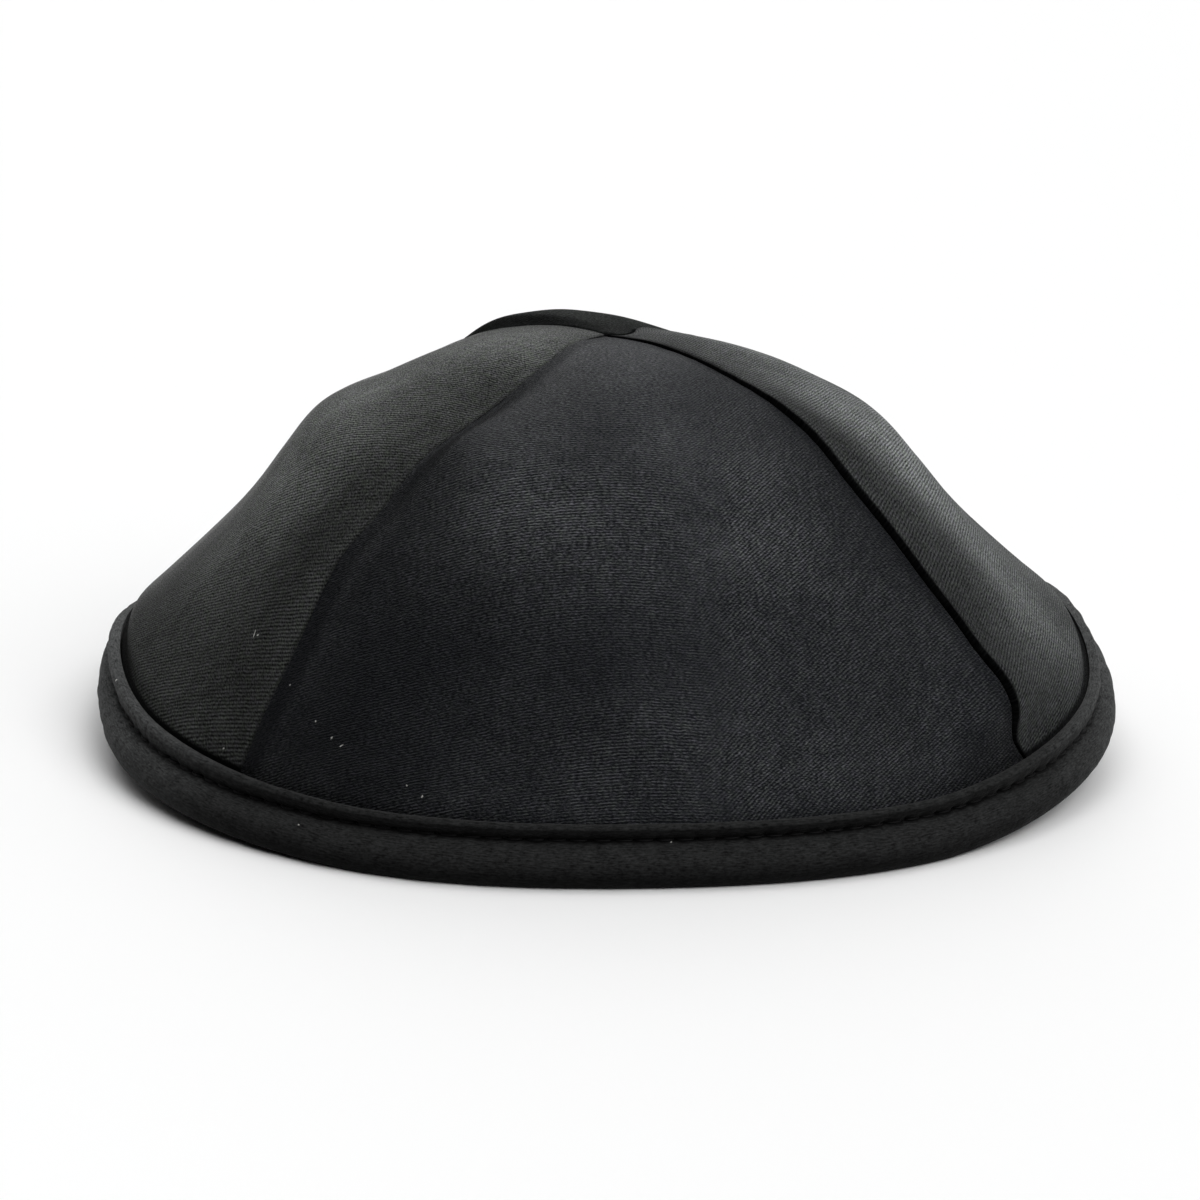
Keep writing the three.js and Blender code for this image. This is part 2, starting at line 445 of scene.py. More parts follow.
# How far a panel stands back just above the binding
def cleftIn(azimuths, above):
    deep = np.zeros_like(above)
    for cleft in binding["clefts"]:
        aside = asideOf(azimuths, cleft["azimuth"], cleft["halfAngle"])
        beyond = (above - binding["cleftHeight"]) / binding["cleftReach"]
        deep += cleft["deep"] * np.exp(-(aside**4) - beyond**2)
    return deep


# A map's values round each row's loop, after the tip's two points
def roundLoop(values):
    loops = np.concatenate([values, values[:, ::-1]], axis=1)
    return np.concatenate([np.zeros((2, 2)), loops.reshape(-1, 2)])


# Rows are loops, out along the outer face and back along the inner one, closed at the tip's two points
def panelFaces(rowCount, loopSize):
    columns = cloth["columns"]
    faces = []
    for place in range(loopSize):
        beside = (place + 1) % loopSize
        for row in range(rowCount - 1):
            here, under = 2 + row * loopSize, 2 + (row + 1) * loopSize
            faces.append((here + place, under + place, under + beside, here + beside))
        if place != columns and place != loopSize - 1:
            faces.append((0 if place < columns else 1, 2 + place, 2 + beside))
    faces.append((0, 2 + columns, 2 + columns + 1, 1))
    faces.append((1, 2 + loopSize - 1, 2, 0))
    lowest = 2 + (rowCount - 1) * loopSize
    for place in range(columns):
        back = loopSize - 1 - place
        faces.append((lowest + place, lowest + back, lowest + back - 1, lowest + place + 1))
    return faces


def makePanel(panel):
    azimuths, plain, shares = panelGrid(panel)
    profile = crownProfile(plain, shares)
    base = inSpace(azimuths, profile)
    meridian = outOf(crownProfile, plain, shares)
    normal = inSpace(azimuths, meridian)

    # Distances across and down the cloth, and the cut piece laid flat
    steps = np.linalg.norm(np.diff(base, axis=1), axis=-1)
    across = np.concatenate([np.zeros((len(base), 1)), np.cumsum(steps, axis=1)], axis=1)
    down = alongRows(np.concatenate([np.full((1, base.shape[1], 3), (0, 0, topHeight)), base]))[1:]
    middleDown = down[:, base.shape[1] // 2][:, None]
    theta = (across - across[:, -1:] / 2) / middleDown
    pattern = np.stack([middleDown * np.sin(theta), middleDown * np.cos(theta)], -1)

    generator = np.random.default_rng(panel["seed"])
    leftSeam, rightSeam = seamAt(panel["middle"] - 45), seamAt(panel["middle"] + 45)
    fromRim = down[-1][None, :] - down
    fromLeft, fromRight = across, across[:, -1:] - across
    nearest = np.minimum(fromLeft, fromRight)
    above = profile[..., 1] - rimShift(azimuths, np.zeros_like(azimuths))[..., 1]
    leftOut, leftTurned = edgeOut(leftSeam, "above", fromLeft, down[:, :1], fromRim, generator)
    rightOut, rightTurned = edgeOut(rightSeam, "below", fromRight, down[:, -1:], fromRim, generator)
    creased = sum(creaseOut(crease, pattern) for crease in panel["creases"])
    soft = rippleOut(pattern, generator) + creased * smoothStep(nearest, *cloth["softFromSeam"])
    soft = soft * smoothStep(fromRim, *cloth["softFromRim"])
    turned = np.maximum(leftTurned, rightTurned)
    swell = bulge(panel["swells"], azimuths, profile[..., 0])
    swell = swell * smoothStep(nearest, *cloth["swellFromSeam"])
    out = leftOut + rightOut + swell + soft - turned - cleftIn(azimuths, above)
    layer = 1 - smoothStep(nearest, cloth["allowance"] - cloth["allowanceEdge"], cloth["allowance"])
    layer = cloth["allowanceRise"] * layer * smoothStep(fromRim, *cloth["allowanceFromRim"])
    outer = base + normal * out[..., None]
    inner = base - normal * np.maximum(crown["wall"] + layer, turned + cloth["leastWall"])[..., None]

    loops = np.concatenate([outer, inner[:, ::-1]], axis=1)
    tip = topHeight - turned[0].max()
    tips = np.array([[0, 0, tip], [0, 0, tip - cloth["leastWall"]]])
    points = np.concatenate([tips, loops.reshape(-1, 3)])
    maps = {
        "cut": roundLoop(pattern),
        "seams": roundLoop(np.stack([fromLeft, fromRight], -1)),
        "rim": roundLoop(np.stack([across, above], -1)),
    }
    maps["rim"][:2, 1] = topHeight
    return clothPiece(panel["piece"], points * mm, panelFaces(*loops.shape[:2]), maps)


def clothPiece(name, points, faces, maps):
    mesh = bpy.data.meshes.new(name)
    mesh.from_pydata(points.tolist(), [], faces)
    corners = np.empty(len(mesh.loops), dtype=np.int32)
    mesh.loops.foreach_get("vertex_index", corners)
    for mapName, uv in maps.items():
        layer = mesh.uv_layers.new(name=mapName)
        eachCorner = uv if len(uv) == len(corners) else uv[corners]
        layer.data.foreach_set("uv", eachCorner.astype(np.float32).ravel())
    mesh.validate()
    mesh.update()
    piece = bpy.data.objects.new(name, mesh)
    bpy.context.scene.collection.objects.link(piece)
    bpy.ops.object.select_all(action="DESELECT")
    piece.select_set(True)
    bpy.context.view_layer.objects.active = piece
    bpy.ops.object.shade_smooth_by_angle(angle=math.radians(cloth["smoothBelow"]))
    return piece


# Binding: one folded strip round the rim, held by a line of stitches in a groove

binding = {
    "columns": 1160,
    "flatWidth": 24,
    # Outer face from the flat that it stands on up to its upper edge, insets from the rim's circle
    "face": rowsOf(
        "inset height",
        (1.6, 0), (0.75, 0.15), (0.25, 0.75), (0.02, 1.7), (0.1, 2.7), (0.45, 3.7), (1.1, 4.7),
        (2.1, 5.6), (3.25, 6.15), (3.95, 6.4), (3.8, 6.8), (3.35, 7.6), (3.2, 8.2), (3.6, 8.65),
        (4.3, 8.6),
    ),
    "slotGap": 0.2,
    "slotMouth": 8,
    "slotMiddle": 5,
    "slotFloor": 2.3,
    "leg": 1.1,
    "legHeight": 7.8,
    "legRound": {"drop": 0.3, "inset": 0.25},
    # The leg's face down to the foot, and how far short of its full thickness it stands
    "legFace": rowsOf(
        "height short",
        (6, 0.1), (4.2, 0), (2.2, 0.1), (0.8, 0.5), (0.1, 1.1), (0, 1.8),
    ),
    "stitches": 166,
    "pull": (0.3, 1.6),  # how hard the stitches pull, from the loosest to the tightest
    "stray": 0.16,  # of a stitch's hole along the line, as a share of the pitch
    "hole": 0.16,
    "groove": 6.45,  # height of the line of stitches
    "grooveWidth": 0.55,
    "dimple": 0.4,
    "gather": 0.03,
    "gatherWidth": 1.7,
    "uneven": {"waves": 14, "turns": (18, 150), "rise": 1.4, "out": 0.018, "fromFoot": (0.1, 1.2)},
    "lowering": {"front": 0.2, "sides": 1.1, "from": 25, "to": 60},  # of the groove, towards the sides
    "seed": 21,
    # Where the panels stand back from its upper edge
    "clefts": [
        {"azimuth": 97, "halfAngle": 42, "deep": 1},
        {"azimuth": -105, "halfAngle": 38, "deep": 1.4},
    ],
    "cleftHeight": 8.9,
    "cleftReach": 1.2,
    # Where its upper edge is tucked in behind the panels
    "tucks": [
        {"azimuth": 100, "halfAngle": 42, "inset": 0.4, "drop": 0.2},
        {"azimuth": -122, "halfAngle": 27, "inset": 1.4, "drop": 0.9},
    ],
    "tuckInset": (4.6, 3.2),  # from no tuck to the full one, by the face's inset
    "tuckHeight": (5, 7.6),
    "dropHeight": (6.8, 8.3),
}


# How far the slot's inner side and the leg's face lie behind the panels' outer face
def legDepths():
    inner = crown["wall"] * math.hypot(1, rim["lean"]) + cloth["allowanceRise"] + binding["slotGap"]
    return inner, inner + binding["leg"]


# Insets and heights round the strip's section, its outer face first
def bindingSection():
    face = column(binding["face"], "inset", "height")
    face = catmullRom(face, np.linspace(0, len(face) - 1, (len(face) - 1) * 3 + 1))

    def insetAt(height, beyond):
        return rim["radius"] - panelFaceAt(height) + beyond

    outer = -binding["slotGap"]
    inner, leg = legDepths()
    mouth, middle, floor = binding["slotMouth"], binding["slotMiddle"], binding["slotFloor"]
    top, corner = binding["legHeight"], binding["legRound"]
    places = [
        *[(height, outer) for height in (mouth, middle, floor)],
        *[(height, inner) for height in (floor, middle, top - corner["drop"])],
        (top, inner + corner["inset"]),
        (top, leg - corner["inset"]),
        (top - corner["drop"], leg),
        *[(row["height"], leg - row["short"]) for row in binding["legFace"]],
    ]
    inside = np.array([(insetAt(height, beyond), height) for height, beyond in places])
    return np.concatenate([face, inside]), len(face)


def groovedDown(azimuth):
    lowering = binding["lowering"]
    aside = np.degrees(np.abs(np.arctan2(np.sin(azimuth), np.cos(azimuth))))
    share = smoothStep(aside, lowering["from"], lowering["to"])
    return lowering["front"] + (lowering["sides"] - lowering["front"]) * share


# How hard each stitch pulls and how far its hole strays, with the generator that drew them
def stitchDraws():
    generator = np.random.default_rng(binding["seed"])
    pull = generator.uniform(*binding["pull"], binding["stitches"])
    stray = generator.uniform(-binding["stray"], binding["stray"], binding["stitches"])
    return generator, pull, stray


# Slight waves all over the outer face
def unevenOut(azimuth, height, generator):
    uneven = binding["uneven"]
    out = np.zeros((len(azimuth), len(height)))
    for _ in range(uneven["waves"]):
        turns = generator.integers(*uneven["turns"])
        rise = generator.uniform(-uneven["rise"], uneven["rise"])
        phase = generator.uniform(0, 2 * np.pi)
        out += np.sin(turns * azimuth[:, None] + rise * height + phase) * uneven["out"]
    return out * smoothStep(height, *uneven["fromFoot"])


# The strip, and how far round its section the line of stitches lies
def makeBinding():
    section, faceCount = bindingSection()
    columns, size = binding["columns"], len(section)
    azimuth = np.arange(columns) / columns * 2 * np.pi + np.pi  # the strip's ends meet at the back
    generator, pull, stray = stitchDraws()

    # The stitches pull the groove in and gather the cloth on both sides of it
    inset, height = section[:faceCount].T
    place = azimuth / (2 * np.pi) * binding["stitches"]
    nearest = np.round(place).astype(int) % binding["stitches"]
    offset = (place - np.round(place)) - stray[nearest]
    hole = np.exp(-((offset / binding["hole"]) ** 2)) * pull[nearest]
    waves = np.cos(2 * np.pi * offset) * pull[nearest]
    nearGroove = np.exp(-(((height - binding["groove"]) / binding["grooveWidth"]) ** 2))
    gatherReach = np.exp(-(((height - binding["groove"]) / binding["gatherWidth"]) ** 2))
    inward = binding["dimple"] * hole[:, None] * nearGroove
    inward += binding["gather"] * waves[:, None] * gatherReach
    inward += unevenOut(azimuth, height, generator)

    tucked, drop = np.zeros_like(inward), np.zeros_like(inward)
    free, full = binding["tuckInset"]
    room = np.clip((free - inset) / (free - full), 0, 1)
    for tuck in binding["tucks"]:
        share = np.exp(-(asideOf(azimuth, tuck["azimuth"], tuck["halfAngle"]) ** 4))[:, None]
        tucked += tuck["inset"] * share * room * smoothStep(height, *binding["tuckHeight"])
        drop += tuck["drop"] * share * smoothStep(height, *binding["dropHeight"])
    lower = groovedDown(azimuth)[:, None] * gatherReach

    # Only the outer face is shaped: the slot and the leg behind it follow the rim as they are
    profile = np.repeat([[rim["radius"], 0] + section * (-1, 1)], columns, axis=0)
    profile[:, :faceCount, 0] += rim["lean"] * lower - inward - tucked
    profile[:, :faceCount, 1] -= drop + lower
    turned = np.repeat(azimuth[:, None], size, axis=1)
    points = inSpace(turned, profile + rimShift(turned, profile[..., 1]))
    closed = np.concatenate([section, section[:1]])
    around = np.concatenate([[0], np.cumsum(np.linalg.norm(np.diff(closed, axis=0), axis=1))])
    along = np.arange(columns + 1) / columns * 2 * np.pi * rim["radius"]
    faces, uv = [], []
    for here in range(columns):
        beside = (here + 1) % columns
        for part in range(size):
            above = (part + 1) % size
            corners = ((here, part), (beside, part), (beside, above), (here, above))
            faces.append(tuple(station * size + point for station, point in corners))
            for step, rise in ((0, 0), (1, 0), (1, 1), (0, 1)):
                uv.append((along[here + step], around[part + rise]))
    strip = clothPiece("rim_binding_cloth", points.reshape(-1, 3) * mm, faces, {"cut": np.array(uv)})
    deepest = np.argmax(inset * (np.abs(height - binding["groove"]) < binding["grooveWidth"]))
    return strip, float(around[deepest])


# Stitches: one modelled, copied round the rim inside and outside

thread = {
    "radius": 0.13,
    "sides": 8,
    "length": 2.4,
    "bends": (0.4, -0.4, 0.2, -0.2),  # where it is cut to bend, as shares of its length
    "sink": 0.4,
    "flattened": 0.3,
    "outerInset": 3.8,
    "innerHeight": 6,
    "innerSunk": 0.05,
    "smoothBelow": 60,
    "dark": (0.001, 0.001, 0.001, 1),
    "light": (0.005, 0.005, 0.0055, 1),
    # Painted light: the thread is painted paler away from the front, where the sides and back catch more
    # light
    "pale": (0.04, 0.041, 0.041, 1),  # which it has towards the back
    "paleFrom": -65,
    "paleTo": -35,
    "roughness": 0.55,
    "specular": 0.15,
    "fibres": (4000, 2, 0.6),  # how fine, how many layers, how rough
    "bump": 0.03,
    "bumpStrength": 0.6,
}


def oneStitch():
    bpy.ops.object.select_all(action="DESELECT")
    bpy.ops.mesh.primitive_cylinder_add(
        vertices=thread["sides"],
        radius=thread["radius"] * mm,
        depth=thread["length"] * mm,
        rotation=(0, math.pi / 2, 0),
    )
    stitch = bpy.context.object
    bpy.ops.object.transform_apply(location=True, rotation=True, scale=True)
    bpy.ops.object.mode_set(mode="EDIT")
    for share in thread["bends"]:
        bpy.ops.mesh.select_all(action="SELECT")
        bpy.ops.mesh.bisect(plane_co=(share * thread["length"] * mm, 0, 0), plane_no=(1, 0, 0))
    bpy.ops.object.mode_set(mode="OBJECT")
    half = thread["length"] * mm / 2
    for vertex in stitch.data.vertices:
        share = abs(vertex.co.x) / half
        vertex.co.y -= thread["sink"] * mm * share**3  # the ends dive into their holes
        vertex.co.z *= 1 - thread["flattened"] * share**2
    return stitch


# A frame for a stitch: along the rim, out of the cloth, up
def stitchFrame(turn, line):
    step = 1e-3
    azimuth = np.array([turn - step, turn, turn + step])
    lower = groovedDown(azimuth) * line["lower"]
    radius = rim["radius"] - line["inset"] + rim["lean"] * lower
    profile = np.stack([radius, line["height"] - lower], -1)
    before, here, beyond = inSpace(azimuth, profile + rimShift(azimuth, profile[:, 1]))
    along = Vector(beyond - before).normalized()
    out = Vector((math.sin(turn), -math.cos(turn), 0)) * line["side"]
    up = out.cross(along).normalized()
    out = along.cross(up).normalized()
    return Matrix.Translation(Vector(here) * mm) @ Matrix((along, out, up)).transposed().to_4x4()


def stitchPlaces():
    _, _, stray = stitchDraws()
    count, height = binding["stitches"], thread["innerHeight"]
    legInset = rim["radius"] - panelFaceAt(height) + legDepths()[1] - thread["innerSunk"]
    lines = [
        {"inset": thread["outerInset"], "height": binding["groove"], "side": 1, "lower": 1},
        {"inset": legInset, "height": height, "side": -1, "lower": 0},
    ]
    places = []
    for line in lines:
        for number in range(count):
            middle = number + 0.5 + (stray[number] + stray[(number + 1) % count]) / 2
            places.append(stitchFrame(middle / count * 2 * math.pi, line))
    return places


def makeStitches():
    stitch = oneStitch()
    copies = []
    for place in stitchPlaces():
        copy = stitch.copy()
        copy.data = stitch.data.copy()
        copy.data.transform(place)
        if place.to_3x3().determinant() < 0:
            copy.data.flip_normals()
        bpy.context.scene.collection.objects.link(copy)
        copies.append(copy)
    bpy.data.objects.remove(stitch)
    bpy.ops.object.select_all(action="DESELECT")
    for copy in copies:
        copy.select_set(True)
    bpy.context.view_layer.objects.active = copies[0]
    bpy.ops.object.join()
    line = bpy.context.object
    line.name = line.data.name = "rim_stitches"
    bpy.ops.object.shade_smooth_by_angle(angle=math.radians(thread["smoothBelow"]))
    return line


# Finishes

satin = {
    "ribs": {"Distortion": 2.5, "Detail": 2, "Detail Scale": 0.7},
    "ribDepth": 0.6,
    "dashDepth": 1.1,
    "mottleDepth": 0.8,
    "bump": 0.07,
    "weaveTone": 0.44,
    "mottleTone": 0.12,
    "leastPaintedTone": 0.15,
    "lintColour": (0.45, 0.45, 0.43, 1),
    "lintEdge": (0.4, 1),
    "fray": 2,
    "tint": (0.93, 1.02, 0.84),  # of the warmer threads among the cool ones
    "sheenRoughness": 0.4,
    "roughness": (0.55, 0.35),  # between the dashes and on them
    "anisotropy": 0.9,
    "tangentTurn": 90,
    # Painted shade beside the seams, in their lines and just above the binding: where the tone comes
    # back, away from a seam and above the flat
    "stripShadeEnds": (2.2, 3.8),
    "seamShadeEnds": (0.3, 0.8),
    "rimShadeEnds": (8.35, 8.95),
    # Where a panel's own satin says nothing else
    "shineTint": (1, 1, 1, 1),
    "slant": None,
    "seamStripShade": (1, 1),
    "sheen": 0,
    "lint": [],
}

lintNames = "across down halfWidth halfLength turn"
patchNames = lintNames + " gain"

# The weave lies another way on each panel, so each takes the light in its own way; each panel's thread
# colour is also set lighter or darker on its own, as painted light and shade. Patches are painted
# highlights and painted shade, zones that the photo shows lighter or darker from the light, and lint the
# specks that it shows, both at their places on the cut pieces.
satins = {
    "panel_front": {
        "name": "front_satin",
        "relief": 1.3,
        "contrast": 2.4,
        "ribPitch": 0.47,
        "colour": (0.0006, 0.0006, 0.0006, 1),
        "thread": (0.092, 0.0905, 0.102, 1),
        "specular": 0.1,
        "shineTint": (0.68, 0.78, 1, 1),
        "ribTurn": 0,
        # Where its ribs change direction, across the panel
        "slant": {"turn": 48, "from": 4, "to": 14, "wander": 16},
        # Painted shade in the strips beside its two seams
        "seamStripShade": (0.45, 0.7),  # share of its tone that the strips beside its two seams keep
        "patches": rowsOf(
            patchNames,
            (0, 20, 12, 14, 0, 0.5), (-8, 11, 6, 6, 0, 1.3), (13, 27, 5, 9, 0, -0.3),
            (7, 42, 6, 8, 0, 0.5), (-16, 56, 10, 11, 0, 1.5), (15, 57, 14, 14, 0, 1.3),
            (-4, 60, 7, 8, 0, 0.4), (-6, 42, 5, 8, 0, -0.3), (-44, 78, 11, 20, 32, -0.65),
            (-28, 76, 10, 16, 20, -0.35), (-36, 94, 10, 8, 0, -0.45), (-38, 57, 4, 9, 36, -0.3),
            (-29, 40, 6, 12, 38, -0.6), (-11, 80, 10, 8, 0, -0.4), (9, 82, 3.5, 8, 0, -0.4),
            (17, 93, 14, 9, 0, 0.8), (28, 36, 5, 9, -38, -0.5), (45, 56, 6, 12, -38, -0.55),
            (52, 87, 6, 7, 0, -0.5), (45, 80, 5, 6, 0, 0.7),
        ),
        "lint": rowsOf(
            lintNames,
            (-32.5, 96.9, 0.16, 0.24, 40), (-34.7, 94.7, 0.13, 0.2, -20), (-44.8, 85.7, 0.14, 0.36, 70),
            (-46.3, 84, 0.17, 0.26, 20), (-48.8, 80.5, 0.12, 0.22, 0), (-52.6, 73.2, 0.11, 0.2, 50),
        ),
        # Shares of its tone left by the painted shade just above the binding and in the seams' own lines
        "rimShadeTone": 1,
        "lines": (1, 0.1),  # and in the seams themselves
    },
    "panel_right": {
        "name": "right_satin",
        "relief": 0.4,
        "contrast": 1.6,
        "ribPitch": 0.5,
        "colour": (0.0008, 0.0009, 0.0011, 1),
        "thread": (0.108, 0.1085, 0.118, 1),
        "specular": 0.006,
        "ribTurn": -20,
        "patches": rowsOf(
            patchNames,
            (-19, 57, 8.5, 29, 15, 3.2), (-5, 48, 8, 22, 10, 2.2), (-6, 84, 10, 14, 0, 1.2),
            (1, 24, 5, 9, 0, 1), (-34, 76, 9, 9, 0, 1.1), (-24, 34, 4, 12, 35, -0.5),
            (-12, 13, 4.5, 9, 40, -0.85), (-49, 60, 6, 14, 38, -0.3),
        ),
        "rimShadeTone": 0.2,
        "lines": (0.2, 0.3),
        "sheen": 0.03,
    },
    "panel_back": {
        "name": "back_satin",
        "relief": 0.5,
        "contrast": 1.9,
        "ribPitch": 0.5,
        "colour": (0.0006, 0.0007, 0.0009, 1),
        "thread": (0.066, 0.0695, 0.07, 1),
        "specular": 0.01,
        "ribTurn": 0,
        "seamStripShade": (0.9, 0.8),
        "patches": rowsOf(patchNames, (11, 13, 4, 13, -42, -0.75), (-5, 5, 6, 6, 0, -0.5)),
        "rimShadeTone": 0.2,
        "lines": (0.3, 0.3),
    },
    "panel_left": {
        "name": "left_satin",
        "relief": 0.3,
        "contrast": 1.6,
        "ribPitch": 0.58,
        "colour": (0.0008, 0.0009, 0.0009, 1),
        "thread": (0.109, 0.109, 0.115, 1),
        "specular": 0.008,
        "ribTurn": 50,
        "patches": rowsOf(
            patchNames,
            (5, 15, 12, 13, 0, 1.3), (8, 52, 10, 26, -16, 2.2), (23, 56, 7, 18, -5, 0.9),
            (40, 64, 6, 16, -38, -0.3), (57, 78, 6, 12, -38, -0.25), (-2, 92, 15, 18, 0, -0.3),
        ),
        "lint": rowsOf(
            lintNames,
            (42.8, 71.2, 0.12, 0.75, -50), (43.6, 70.7, 0.16, 0.22, 0), (55.6, 82.8, 0.13, 0.27, 15),
        ),
        "rimShadeTone": 0.05,
        "lines": (0.3, 0.7),
    },
}

crepe = {
    "colour": (0.0006, 0.0006, 0.0006, 1),
    "thread": (0.037, 0.038, 0.038, 1),
    "bump": 0.035,
    "weaveTone": 0.45,
    "mottleTone": 0.3,
    "tone": 0.5,
    # Painted shade and light at the front: distances round the section, and the share of its tone there
    "frontShadeTones": rowsOf(
        "from to before after",
        (2.6, 5.2, 0.3, 1),
        (9.2, 9.8, 1, 0.4),
        (11, 11.3, 1, 2.4),
    ),
    "frontEnds": (60, 110),  # distances round the rim from its front
    # Painted light: lighter towards the cap's two sides, between these distances round the rim
    "sidesStart": (70, 140),
    "sideLightTone": 4,
    # Painted shade: darker by the line of stitches, at the front and at the sides
    "worn": {"from": 0.4, "to": 1.1, "wander": 1.2, "front": 0.88, "sides": 0.55},
    "lint": rowsOf(
        lintNames,
        (164.7, 11.8, 0.2, 0.32, 20), (221.9, 6.6, 0.14, 0.22, 60), (278.6, 8.8, 0.15, 0.26, -30),
    ),
    "roughness": (0.68, 0.52),
    "specular": 0.01,
    "sheen": 0.055,
    "sheenRoughness": 0.45,
}


# How each noise is turned, how fine it is across, down and as a whole, its layers and how rough
# they are, and what the part of it between "from" and "to" is spread over
noises = rowsOf(
    "name turn across down fine layers rough from to low high",
    ("dashes", 0, 1.8, 4.2, 1, 2, 0.6, 0.36, 0.64, 0, 1),
    ("mottle", 0, 1, 0.7, 0.5, 3, 0.6, 0.34, 0.66, 0, 1),
    ("clearness", 0, 1, 1, 0.07, 2, 0.5, 0.35, 0.65, 0.6, 1),
    ("tints", 0, 1, 1, 0.8, 3, 0.65, 0.38, 0.62, 0, 1),
    ("slant", 0, 1, 1, 0.12, 2, 0.5, 0, 1, 0, 1),
    ("fray", 0, 1, 1, 5, 2, 0.6, 0, 1, 0, 1),
    ("crinkle", 20, 1, 1.6, 1.6, 3, 0.65, 0.3, 0.7, -0.5, 0.5),
    ("crepe_threads", 8, 0.5, 2.6, 1.6, 2, 0.5, 0.3, 0.7, -0.5, 0.5),
    ("crepe_mottle", 0, 1, 1, 0.42, 3, 0.6, 0.3, 0.7, -0.5, 0.5),
    ("worn", 0, 1, 1, 0.5, 2, 0.6, 0, 1, 0, 1),
)


# The nodes of one material, added and joined by short calls
class Nodes:
    def __init__(self, name):
        self.material = bpy.data.materials.new(name)
        self.material.use_nodes = True
        self.tree = self.material.node_tree
        self.shader = self.tree.nodes["Principled BSDF"]

    def add(self, kind, **inputs):
        node = self.tree.nodes.new(kind)
        for name, value in inputs.items():
            self.feed(node, name, value)
        return node

    def feed(self, node, name, value):
        numbered = name[0] == "n" and name[1:].isdigit()
        socket = node.inputs[int(name[1:])] if numbered else node.inputs[name]
        if isinstance(value, bpy.types.NodeSocket):
            self.tree.links.new(value, socket)
        else:
            socket.default_value = value

    def math(self, operation, first, second=0.5):
        node = self.add("ShaderNodeMath", n0=first, n1=second)
        node.operation = operation
        return node.outputs[0]

    def times(self, first, second):
        return self.math("MULTIPLY", first, second)

    def plus(self, first, second):
        return self.math("ADD", first, second)

    def noise(self, vector, scale, detail, rough):
        node = self.add("ShaderNodeTexNoise", Vector=vector, Scale=scale, Detail=detail, Roughness=rough)
        return node.outputs["Fac"]

    # The noise of that name, turned further
    def spread(self, vector, name, turn=0):
        row = next(row for row in noises if row["name"] == name)
        vector = self.turned(vector, row["turn"] + turn, (row["across"], row["down"], 1))
        grain = self.noise(vector, row["fine"], row["layers"], row["rough"])
        return self.ramp(grain, row["from"], row["to"], row["low"], row["high"])

    # The same noise as a shift of up to half the width, either way
    def wander(self, vector, name, width):
        return self.math("SUBTRACT", self.times(self.spread(vector, name), width), width / 2)

    def ramp(self, value, low, high, toLow, toHigh):
        node = self.add("ShaderNodeMapRange", Value=value)
        limits = {"From Min": low, "From Max": high, "To Min": toLow, "To Max": toHigh}
        for name, number in limits.items():
            node.inputs[name].default_value = number
        return node.outputs["Result"]

    def turned(self, vector, angle, scale=(1, 1, 1)):
        node = self.add("ShaderNodeMapping", Vector=vector)
        node.inputs["Rotation"].default_value = (0, 0, math.radians(angle))
        node.inputs["Scale"].default_value = scale
        return node.outputs["Vector"]

    def uvMap(self, name):
        node = self.tree.nodes.new("ShaderNodeUVMap")
        node.uv_map = name
        return node.outputs["UV"]

    def part(self, vector, axis):
        return self.add("ShaderNodeSeparateXYZ", Vector=vector).outputs[axis]

    def mixValue(self, share, first, second):
        rest = self.math("SUBTRACT", 1, share)
        return self.plus(self.times(first, rest), self.times(second, share))

    def mixColour(self, share, first, second):
        node = self.add("ShaderNodeMix")
        node.data_type = "RGBA"
        node.clamp_factor = False
        for name, value in (("n0", share), ("n6", first), ("n7", second)):
            self.feed(node, name, value)
        return node.outputs[2]

    # Values or sockets for the shader's inputs
    def give(self, **values):
        for name, value in values.items():
            self.feed(self.shader, name.replace("_", " "), value)

    def bump(self, height, distance, strength=1.0):
        node = self.add("ShaderNodeBump", Height=height, Strength=strength, Distance=distance * mm)
        self.give(Normal=node.outputs["Normal"])


def ribWave(made, flat, turn, pitch):
    along = made.turned(flat, turn)
    ribs = made.add("ShaderNodeTexWave", Vector=along, Scale=2 * math.pi / 20 / pitch, **satin["ribs"])
    ribs.wave_type, ribs.bands_direction = "BANDS", "Y"
    return ribs.outputs["Fac"]


# Distance from the middle of a turned ellipse on the cut piece, 1 on the ellipse itself
def awayFrom(made, flat, ellipse):
    place = made.add("ShaderNodeMapping", Vector=flat)
    place.vector_type = "TEXTURE"
    place.inputs["Location"].default_value = (ellipse["across"], ellipse["down"], 0)
    place.inputs["Rotation"].default_value = (0, 0, math.radians(ellipse["turn"]))
    place.inputs["Scale"].default_value = (ellipse["halfWidth"], ellipse["halfLength"], 1)
    away = made.add("ShaderNodeVectorMath", n0=place.outputs["Vector"])
    away.operation = "LENGTH"
    return away.outputs["Value"]


# Painted highlights and painted shade: how much lighter or darker the cloth is painted, from the table
# of patches
def paintedLightTone(made, flat, patches):
    tone = 1
    for patch in patches:
        away = awayFrom(made, flat, patch)
        share = made.math("EXPONENT", made.times(made.times(away, away), -1))
        tone = made.plus(made.times(share, patch["gain"]), tone)
    return made.math("MAXIMUM", tone, satin["leastPaintedTone"])


def lintShare(made, flat, specks):
    share = 0
    frayed = made.wander(flat, "fray", satin["fray"])
    for speck in specks:
        ragged = made.plus(awayFrom(made, flat, speck), frayed)
        share = made.math("MAXIMUM", made.ramp(ragged, *satin["lintEdge"], 1, 0), share)
    return share


